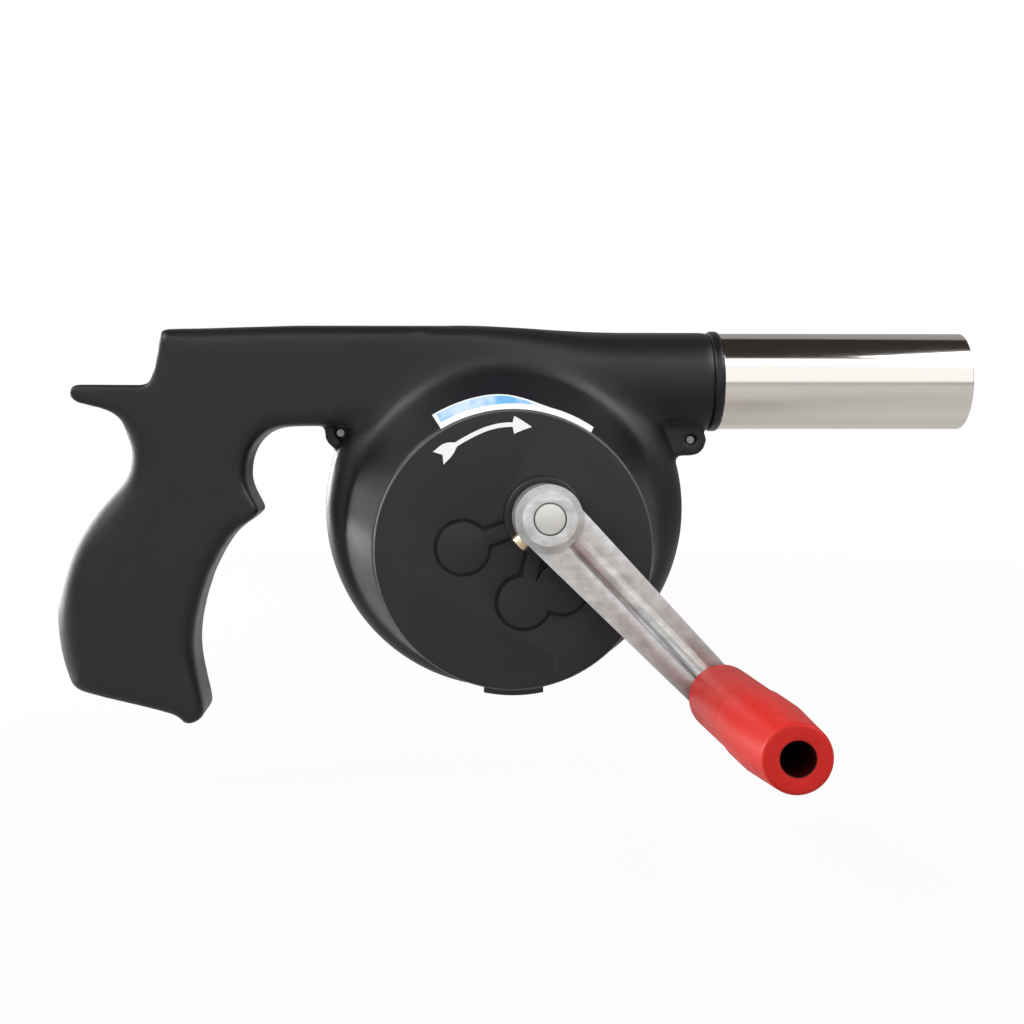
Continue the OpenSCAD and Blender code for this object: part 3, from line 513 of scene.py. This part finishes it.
def soften(bm, width, least_angle=40, spared=None):
    """Rounds the edges that are sharper than an angle in degrees, apart from those that are spared."""
    bmesh.ops.dissolve_limit(bm, angle_limit=math.radians(FLAT_ANGLE), verts=bm.verts, edges=bm.edges)
    least = math.radians(least_angle)
    sharp = [e for e in bm.edges if len(e.link_faces) == 2 and e.calc_face_angle(0) > least
             and not (spared and spared(e))]
    bmesh.ops.bevel(bm, geom=sharp, offset=width, offset_type="OFFSET", segments=EDGE_STEPS, profile=0.5,
                    affect="EDGES", material=-1, clamp_overlap=True)


def rounded(corners, steps=5):
    """A profile whose corners, given as (a, b, radius), are arcs."""
    points = []
    for i, (a, b, radius) in enumerate(corners):
        here = Vector((a, b))
        if radius <= 0 or i in (0, len(corners) - 1):
            points.append(here)
            continue
        back = (Vector(corners[i - 1][:2]) - here).normalized()
        ahead = (Vector(corners[i + 1][:2]) - here).normalized()
        half = back.angle(ahead) / 2
        reach = radius / math.tan(half)
        centre = here + (back + ahead).normalized() * (radius / math.sin(half))
        start, end = here + back * reach - centre, here + ahead * reach - centre
        sweep = start.angle_signed(end)
        for k in range(steps + 1):
            turn = -sweep * k / steps
            points.append(centre + Matrix.Rotation(turn, 2) @ start)
    return points


def spun(profile, at, axis, side, steps, closed):
    """A profile of (radius, reach along the axis), spun about the axis, with its seam welded."""
    bm = bmesh.new()
    verts = [bm.verts.new(at + side * p[0] + axis * p[1]) for p in profile]
    ends = verts[1:] + verts[:1] if closed else verts[1:]
    edges = [bm.edges.new(pair) for pair in zip(verts, ends)]
    bmesh.ops.spin(bm, geom=verts + edges, cent=at, axis=axis, angle=FULL_TURN, steps=steps, use_merge=True)
    bmesh.ops.remove_doubles(bm, verts=bm.verts, dist=SEAM)
    return bm


def turned(profile, at, axis, side, steps):
    """A closed profile, spun into a ring without slivers."""
    bm = spun(profile, at, axis, side, steps, closed=True)
    bmesh.ops.dissolve_degenerate(bm, edges=bm.edges, dist=SLIVER)
    bmesh.ops.recalc_face_normals(bm, faces=bm.faces)
    return bm


def loose_boxes(bm):
    """Opposite corners of the box of each loose part."""
    left, boxes = set(bm.verts), []
    while left:
        group = [left.pop()]
        for vert in group:
            found = {edge.other_vert(vert) for edge in vert.link_edges} & left
            left -= found
            group.extend(found)
        boxes.append([Vector(pick(v.co[i] for v in group) for i in range(3)) for pick in (min, max)])
    bm.free()
    return boxes


def cross_loop(bm, at, axis, side, half, arm):
    """A closed loop of edges round a cross, square to an axis."""
    other = axis.cross(side)
    corners = [(arm, -half), (arm, half), (half, half), (half, arm), (-half, arm), (-half, half),
               (-arm, half), (-arm, -half), (-half, -half), (-half, -arm), (half, -arm), (half, -half)]
    verts = [bm.verts.new(at + side * a + other * b) for a, b in corners]
    return [bm.edges.new(pair) for pair in zip(verts, verts[1:] + verts[:1])]


def screw_form(low, high, head_r, head_h, shank_r):
    """A pan-head screw between two box corners, with a cross recess behind and a blunt end in front."""
    axis, side = Vector((0, -1, 0)), Vector((1, 0, 0))
    at = Vector(((low.x + high.x) / 2, high.y, (low.z + high.z) / 2))
    length, flat, point = high.y - low.y, 0.8 * head_r, 1.6 * shank_r
    profile = rounded([(flat, 0, 0), (head_r, 0.08 * head_h, 0.5 * head_h), (head_r, head_h, 0),
                       (shank_r, head_h, 0), (shank_r, length - point, 0), (0.7 * shank_r, length, 0),
                       (0, length, 0)])
    bm = spun(profile, at, axis, side, steps=48, closed=False)
    rim = [e for e in bm.edges if e.is_boundary]
    mouth = cross_loop(bm, at, axis, side, 0.16 * head_r, 0.62 * head_r)
    bottom = cross_loop(bm, at + axis * 0.55 * head_h, axis, side, 0.12 * head_r, 0.4 * head_r)
    bmesh.ops.triangle_fill(bm, use_beauty=True, edges=rim + mouth, normal=-axis)
    bmesh.ops.bridge_loops(bm, edges=mouth + bottom)
    bmesh.ops.triangle_fill(bm, use_beauty=True, edges=bottom, normal=-axis)
    bmesh.ops.recalc_face_normals(bm, faces=bm.faces)
    return bm


def evaluated(bm, *modifiers):
    """The bmesh after modifiers, each given as (type, settings)."""
    mesh = bpy.data.meshes.new("work")
    bm.to_mesh(mesh)
    bm.free()
    work = bpy.data.objects.new("work", mesh)
    bpy.context.scene.collection.objects.link(work)
    for kind, settings in modifiers:
        modifier = work.modifiers.new(kind, kind)
        for key, value in settings.items():
            setattr(modifier, key, value)
    result = bmesh.new()
    result.from_object(work, bpy.context.evaluated_depsgraph_get())
    bpy.data.objects.remove(work)
    bpy.data.meshes.remove(mesh)
    return result


def relax(bm, picks, rounds):
    """Smooths the mesh where picks(place) is true."""
    picked = [v for v in bm.verts if picks(v.co)]
    for _ in range(rounds):
        bmesh.ops.smooth_vert(bm, verts=picked, factor=0.5, use_axis_x=True, use_axis_y=True, use_axis_z=True)


# Pieces

class BLOWER_OT_housing(bpy.types.Operator):
    """Moulds the two shells as one smooth body and parts them"""

    bl_idname = "blower.housing"
    bl_label = "Housing"

    def execute(self, context):
        sizes = context.scene.blower_sizes
        colours = context.scene.blower_colours
        black = moulded_black("housing_black", colours.housing, 0.4, 1900, 0.03 * MM)
        body = evaluated(node_copy("front_shell", "rear_shell"),
                         ("REMESH", {"mode": "VOXEL", "voxel_size": sizes.skin_step}))

        def plain(p):
            """Grip and barrel, apart from the spur, the finger hook and the rear top corner."""
            spur = p.x < -1.5 * MM and 35 * MM < p.z < 50 * MM
            hook = math.hypot(p.x - 25 * MM, p.z - 14 * MM) < 5 * MM
            corner = p.x < 3 * MM and p.z > 57 * MM
            return (p.x < 40 * MM or p.z > 36 * MM) and not (spur or hook or corner)

        def shoulder(p):
            """The hollow between the drum's foot and the casing, above the fan axis."""
            radius = math.hypot(p.x - FAN.x, p.z - FAN.z)
            return p.y < -8 * MM and 36 * MM < radius < 52 * MM and p.z > FAN.z + 10 * MM and p.y > -22 * MM

        def back_strap(p):
            """The rear edge of the grip, below the spur."""
            return p.x < (3 * MM if p.z > 5 * MM else -2 * MM) and -30 * MM < p.z < 33 * MM

        for picks, rounds in ((lambda p: True, 3), (back_strap, 30), (plain, 9), (shoulder, 40)):
            relax(body, picks, rounds)
        for name, node, side in (("front_housing", "front_shell", -1), ("rear_housing", "rear_shell", 1)):
            half = body.copy()
            cut = bmesh.ops.bisect_plane(
                half, geom=half.verts[:] + half.edges[:] + half.faces[:], dist=WELD,
                plane_co=(0, side * PARTING, 0), plane_no=(0, side, 0), clear_inner=True)
            rim = [e for e in cut["geom_cut"] if isinstance(e, bmesh.types.BMEdge)]
            bmesh.ops.triangle_fill(half, use_beauty=True, edges=rim, normal=(0, -side, 0))
            made(half, name, "housing", black, [node], crease=50)
        body.free()
        return {"FINISHED"}


class BLOWER_OT_cover(bpy.types.Operator):
    """Makes the gear cover with its collar, bosses and ribs"""

    bl_idname = "blower.cover"
    bl_label = "Gear cover"

    def execute(self, context):
        sizes = context.scene.blower_sizes
        colours = context.scene.blower_colours
        # The cover's round rim gets a painted highlight
        black = moulded_black("cover_black", colours.cover, 0.46, 2400, 0.025 * MM, (COVER_AT, COVER_R))
        bm = node_copy("gear_cover")
        moat = -sizes.cover_face + sizes.moat
        for vert in bm.verts:
            out = math.hypot(vert.co.x - COVER_AT.x, vert.co.z - COVER_AT.z)
            if abs(vert.co.y - moat) < 0.01 * MM and out < CHANNEL_R:
                vert.co.y += sizes.moat_extra
        soften(bm, sizes.edge)
        bmesh.ops.dissolve_degenerate(bm, edges=bm.edges, dist=WELD)
        made(bm, "printed_cover", "housing", black, ["gear_cover"])
        return {"FINISHED"}


class BLOWER_OT_print(bpy.types.Operator):
    """Lays the label on the drum's wall and the turning arrow on the cover"""

    bl_idname = "blower.print"
    bl_label = "Label and arrow"

    def execute(self, context):
        sizes = context.scene.blower_sizes
        colours = context.scene.blower_colours
        wall = BVHTree.FromObject(bpy.data.objects["front_housing"], context.evaluated_depsgraph_get())
        white = print_ink("print_white", colours.print_white, scaled(colours.print_white, 0.7))
        blue = label_ink(colours.print_blue, colours.print_white)

        def on_wall(angle, radius, lift):
            start = COVER_AT + radius * Vector((math.cos(angle), 0, math.sin(angle)))
            start.y = -2 * sizes.cover_face
            place, normal, _, _ = wall.ray_cast(start, Vector((0, 1, 0)))
            return place + normal * lift

        def on_cover(angle, radius, lift):
            place = COVER_AT + radius * Vector((math.cos(angle), 0, math.sin(angle)))
            place.y = -sizes.cover_face - lift
            return place

        lift = sizes.print_lift
        border = [(angle, BORDER_IN, outer) for angle, outer in (
            (120.8, 39.3), (100, 39.3), (95, 39.15), (91, 38.8), (87, 38.25), (83, 37.65), (79, 37.1),
            (75, 36.8), (56.3, 36.8))]
        field = [(angle, FIELD_IN, outer) for angle, outer in (
            (119.4, 38.95), (100, 38.95), (95, 38.8), (91, 38.4), (87, 37.8), (83, 37.15), (79.5, 36.65))]
        self.strip("label_border", border, on_wall, lift, 96, 8, white)
        self.strip("label_field", field, on_wall, 1.6 * lift, 72, 6, blue)
        arrow = [(129.3, 27.6, 31.75), (124, 28.0, 31.85), (121.5, 28.5, 31.5), (118.6, 29.5, 30.6),
                 (113, 29.72, 30.84), (108, 30.05, 31.17), (102.5, 30.45, 31.57), (97, 30.7, 31.82),
                 (93, 30.76, 31.88), (90.3, 30.74, 31.86), (90.1, 28.95, 33.5), (81.7, 30.98, 31.02)]
        self.strip("turn_arrow", arrow, on_cover, lift, 140, 2, white, notch=2.6)
        return {"FINISHED"}

    def strip(self, name, columns, place, lift, steps, rows, ink, notch=0):
        """A curved strip through columns of (degrees, inner and outer radius in millimetres)."""
        def column(share):
            at = columns[0][0] + share * (columns[-1][0] - columns[0][0])
            for (a0, i0, o0), (a1, i1, o1) in zip(columns, columns[1:]):
                if at >= a1 - 1e-6:
                    t = (a0 - at) / (a0 - a1)
                    return at, i0 + t * (i1 - i0), o0 + t * (o1 - o0)
            return columns[-1]

        bm = bmesh.new()
        bmesh.ops.create_grid(bm, x_segments=steps, y_segments=rows, size=0.5)
        for vert in bm.verts:
            share, across = vert.co.x + 0.5, vert.co.y + 0.5
            angle, inner, outer = column(share)
            angle = min(angle, columns[0][0] - notch * (1 - abs(2 * across - 1)))
            radius = inner + across * (outer - inner)
            vert.co = place(math.radians(angle), radius * MM, lift)
        bmesh.ops.remove_doubles(bm, verts=bm.verts, dist=0.04 * MM)
        bmesh.ops.recalc_face_normals(bm, faces=bm.faces)
        if sum((face.normal.y for face in bm.faces)) > 0:
            bmesh.ops.reverse_faces(bm, faces=bm.faces)
        bmesh.ops.solidify(bm, geom=bm.faces[:], thickness=2 * lift)
        made(bm, name, "housing", ink, crease=60)


class BLOWER_OT_nozzle(bpy.types.Operator):
    """Turns the steel tube and the ring behind it"""

    bl_idname = "blower.nozzle"
    bl_label = "Nozzle"

    def execute(self, context):
        colours = context.scene.blower_colours
        along, side = Vector((1, 0, 0)), Vector((0, 0, 1))
        at = Vector((TUBE_LOW.x, 0, TUBE_Z))
        reach, wall, lip = TUBE_HIGH.x - TUBE_LOW.x, 0.6 * MM, 0.22 * MM
        inner = TUBE_R - wall
        tube = rounded([(inner, reach / 2, 0), (inner, 0, lip), (TUBE_R, 0, lip), (TUBE_R, reach, lip),
                        (inner, reach, lip), (inner, reach / 2, 0)])[:-1]
        made(turned(tube, at, along, side, 160), "steel_tube", "housing",
             polished_tube(colours.tube), ["nozzle_tube"])
        width, ring_r, bend = RING_HIGH.x - RING_LOW.x, (RING_HIGH.z - RING_LOW.z) / 2, 0.8 * MM
        ring = rounded([(inner, width / 2, 0), (inner, 0, 0), (ring_r, 0, bend), (ring_r, width, bend),
                        (inner, width, 0), (inner, width / 2, 0)])[:-1]
        black = moulded_black("ring_black", scaled(colours.housing, 0.8), 0.34, 1900, 0.02 * MM)
        made(turned(ring, Vector((RING_LOW.x, 0, TUBE_Z)), along, side, 128), "barrel_ring", "housing",
             black, ["nozzle_ring"])
        return {"FINISHED"}


class BLOWER_OT_crank(bpy.types.Operator):
    """Softens the cast arm and finishes its shaft and set screw"""

    bl_idname = "blower.crank"
    bl_label = "Crank"

    def execute(self, context):
        sizes = context.scene.blower_sizes
        colours = context.scene.blower_colours
        arm = node_copy("crank_arm")
        across = Vector((-ARM.z, 0, ARM.x)).normalized()
        for vert in arm.verts:
            if abs(vert.co.y + sizes.groove_floor) < 0.02 * MM:
                side = (vert.co - CRANK).dot(across)
                vert.co += across * GROOVE_SHIFT[0 if side > 0.4 * MM else 1] * MM

        def groove(edge):
            return all(abs((v.co - CRANK).dot(across)) < 2.6 * MM and v.co.y < -sizes.groove_floor + 0.5 * MM
                       and 7 * MM < (v.co - CRANK).dot(ARM.normalized()) < 56 * MM for v in edge.verts)

        soften(arm, sizes.cast_edge, 35, groove)
        made(arm, "cast_arm", "crank", cast_metal(colours.cast), ["crank_arm"])
        shaft = node_copy("crank_shaft")
        soften(shaft, 0.3 * MM)
        # Painted shade: the shaft's face turns dark near its edge, for the shade in the gap round it
        steel = turned_metal("shaft_turned", scaled(colours.steel, 1.25), 0.3, CRANK, 3.45 * MM)
        made(shaft, "shaft_end", "crank", steel, ["crank_shaft"])
        screw = node_copy("crank_set_screw")
        low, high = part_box("crank_set_screw")
        middle = (low + high) / 2
        out = Vector((middle.x - CRANK.x, 0, middle.z - CRANK.z)).normalized()
        for vert in screw.verts:
            along = (vert.co - middle).dot(out)
            if along > 0:
                beside = vert.co - middle - out * along
                vert.co = middle + out * (along + SCREW_EXTRA) + beside * SCREW_SWELL
        soften(screw, 0.4 * MM)
        brass = turned_metal("set_screw_brass", colours.set_screw, 0.26, CRANK)
        made(screw, "set_screw", "crank", brass, ["crank_set_screw"])
        return {"FINISHED"}


class BLOWER_OT_knob(bpy.types.Operator):
    """Rounds the red knob's edges and finishes the pin that shows in its end"""

    bl_idname = "blower.knob"
    bl_label = "Knob"

    def execute(self, context):
        colours = context.scene.blower_colours
        knob = node_copy("crank_knob")
        soften(knob, 0.3 * MM)
        red = red_plastic(colours.knob, context.scene.blower_sizes.knob_hole)
        made(knob, "red_knob", "knob", red, ["crank_knob"])
        dress(turned_metal("pin_turned", scaled(colours.steel, 0.6), 0.35, KNOB), "knob_pin")
        return {"FINISHED"}


class BLOWER_OT_drive(bpy.types.Operator):
    """Finishes the gears, axles, bushes and fan inside"""

    bl_idname = "blower.drive"
    bl_label = "Drive and fan"

    def execute(self, context):
        colours = context.scene.blower_colours
        dress(natural_plastic(colours.gear),
              "crank_gear", "first_gear", "second_gear", "third_gear", "fan_pinion")
        dress(turned_metal("bush_brass", colours.brass, 0.3, CRANK),
              "crank_bush", "fan_bush_front", "fan_bush_rear")
        dress(turned_metal("axle_turned", colours.steel, 0.3, FAN),
              "first_gear_axle", "second_gear_axle", "third_gear_axle", "fan_shaft")
        dress(moulded_black("fan_black", scaled(colours.housing, 1.6), 0.5, 1600, 0.03 * MM), "impeller")
        return {"FINISHED"}


class BLOWER_OT_screws(bpy.types.Operator):
    """Makes the screws that join the shells and hold the cover"""

    bl_idname = "blower.screws"
    bl_label = "Screws"

    def execute(self, context):
        sizes = context.scene.blower_sizes
        zinc = turned_metal("screw_zinc", scaled(context.scene.blower_colours.steel, 0.45), 0.34, FAN)
        for name, node in (("shell_screws", "housing_screws"), ("lid_screws", "cover_screws")):
            screws = bmesh.new()
            for low, high in loose_boxes(node_copy(node)):
                one = screw_form(low, high, (high.x - low.x) / 2, sizes.screw_head, sizes.screw_shank)
                part = bpy.data.meshes.new("work")
                one.to_mesh(part)
                one.free()
                screws.from_mesh(part)
                bpy.data.meshes.remove(part)
            made(screws, name, "housing", zinc, [node])
        return {"FINISHED"}


class BLOWER_OT_stage(bpy.types.Operator):
    """Sets up the floor, the soft light and the camera"""

    bl_idname = "blower.stage"
    bl_label = "Studio"

    def execute(self, context):
        scene = context.scene
        studio = scene.blower_studio
        scene.view_settings.view_transform = "Standard"
        self.camera(scene, studio)
        self.room(scene, studio)
        self.floor(scene)
        for name, place, aim, size, brightness in LAMPS:
            self.lamp(scene, name, place, aim, size, getattr(studio, brightness))
        return {"FINISHED"}

    def camera(self, scene, studio):
        data = bpy.data.cameras.new("camera")
        data.lens = studio.lens
        data.sensor_width = SENSOR_MM
        data.dof.use_dof = False
        data.shift_x, data.shift_y = studio.camera_shift
        camera = bpy.data.objects.new("camera", data)
        right, up, roll = (math.radians(angle) for angle in studio.camera_turn)
        turn = Matrix.Rotation(-right, 4, "Z") @ Matrix.Rotation(math.pi / 2 + up, 4, "X")
        camera.matrix_world = Matrix.Translation(studio.camera_at) @ turn @ Matrix.Rotation(roll, 4, "Z")
        scene.collection.objects.link(camera)
        scene.camera = camera

    def room(self, scene, studio):
        """A grey room with a dim ceiling, and white where the camera looks past."""
        world = bpy.data.worlds.new("room")
        world.use_nodes = True
        scene.world = world
        f = Finish(world.node_tree)
        x, y, z = f.split(f.add("ShaderNodeTexCoord", out="Generated"))
        ceiling = (z + y * 1.19).least(z - y * 1.48).ramp(-0.06, 0.16)
        tint = f.mix(ceiling, WALL_GREY, CEILING_GREY)
        seen = f.add("ShaderNodeLightPath", out="Is Camera Ray")
        room = f.add("ShaderNodeBackground", {}, {"Color": tint, "Strength": studio.surround})
        white = f.add("ShaderNodeBackground", {}, {"Color": WHITE, "Strength": 1.0})
        both = f.add("ShaderNodeMixShader", {}, {0: seen, 1: room, 2: white})
        f.add("ShaderNodeOutputWorld", {}, {"Surface": both})

    def floor(self, scene):
        material, f = new_finish("floor_pale")
        x, y, z = f.split(f.place())
        away = (x * x + y * y).sum("SQRT")
        far = away.ramp(0.25, 1.2)
        seen = f.add("ShaderNodeLightPath", out="Is Camera Ray")
        paint = f.add("ShaderNodeBsdfDiffuse", {}, {"Color": FLOOR_PAINT})
        glow = f.add("ShaderNodeEmission", {}, {"Color": WHITE, "Strength": 1.0})
        both = f.add("ShaderNodeMixShader", {}, {0: seen * (0.94 + far * 0.06), 1: paint, 2: glow})
        f.add("ShaderNodeOutputMaterial", {}, {"Surface": both})
        bm = bmesh.new()
        bmesh.ops.create_grid(bm, x_segments=8, y_segments=8, size=6,
                              matrix=Matrix.Translation((0.1, 0, -scene.blower_sizes.floor_drop)))
        mesh = bpy.data.meshes.new("floor")
        bm.to_mesh(mesh)
        bm.free()
        mesh.materials.append(material)
        floor = bpy.data.objects.new("floor", mesh)
        scene.collection.objects.link(floor)

    def lamp(self, scene, name, place, aim, size, radiance):
        """A soft rectangular lamp of an even brightness."""
        data = bpy.data.lights.new(name, "AREA")
        data.shape = "RECTANGLE"
        data.size, data.size_y = size
        data.energy = radiance * math.pi * size[0] * size[1]
        lamp = bpy.data.objects.new(name, data)
        turn = (Vector(aim) - Vector(place)).to_track_quat("-Z", "Y")
        lamp.matrix_world = Matrix.Translation(place) @ turn.to_matrix().to_4x4()
        scene.collection.objects.link(lamp)


class BLOWER_PT_pieces(bpy.types.Panel):
    """Lists the pieces and their sizes and colours"""

    bl_idname = "BLOWER_PT_pieces"
    bl_label = "Blower"
    bl_space_type = "VIEW_3D"
    bl_region_type = "UI"
    bl_category = "Blower"

    def draw(self, context):
        for operator in OPERATORS:
            self.layout.operator(operator.bl_idname)
        for group in ("blower_sizes", "blower_colours", "blower_studio"):
            values = getattr(context.scene, group)
            for key in values.__annotations__:
                self.layout.prop(values, key)


OPERATORS = (BLOWER_OT_stage, BLOWER_OT_housing, BLOWER_OT_cover, BLOWER_OT_print, BLOWER_OT_nozzle,
             BLOWER_OT_crank, BLOWER_OT_knob, BLOWER_OT_screws, BLOWER_OT_drive)
GROUPS = {"blower_sizes": BlowerSizes, "blower_colours": BlowerColours, "blower_studio": BlowerStudio}


def register():
    for cls in (*GROUPS.values(), *OPERATORS, BLOWER_PT_pieces):
        bpy.utils.register_class(cls)
    for name, cls in GROUPS.items():
        setattr(bpy.types.Scene, name, bpy.props.PointerProperty(type=cls))


def unregister():
    for name in GROUPS:
        delattr(bpy.types.Scene, name)
    for cls in (BLOWER_PT_pieces, *reversed(OPERATORS), *GROUPS.values()):
        bpy.utils.unregister_class(cls)


def main():
    register()
    bpy.ops.blower.stage()
    bpy.ops.blower.housing()
    bpy.ops.blower.cover()
    bpy.ops.blower.print()
    bpy.ops.blower.nozzle()
    bpy.ops.blower.crank()
    bpy.ops.blower.knob()
    bpy.ops.blower.screws()
    bpy.ops.blower.drive()


if __name__ == "__main__":
    main()
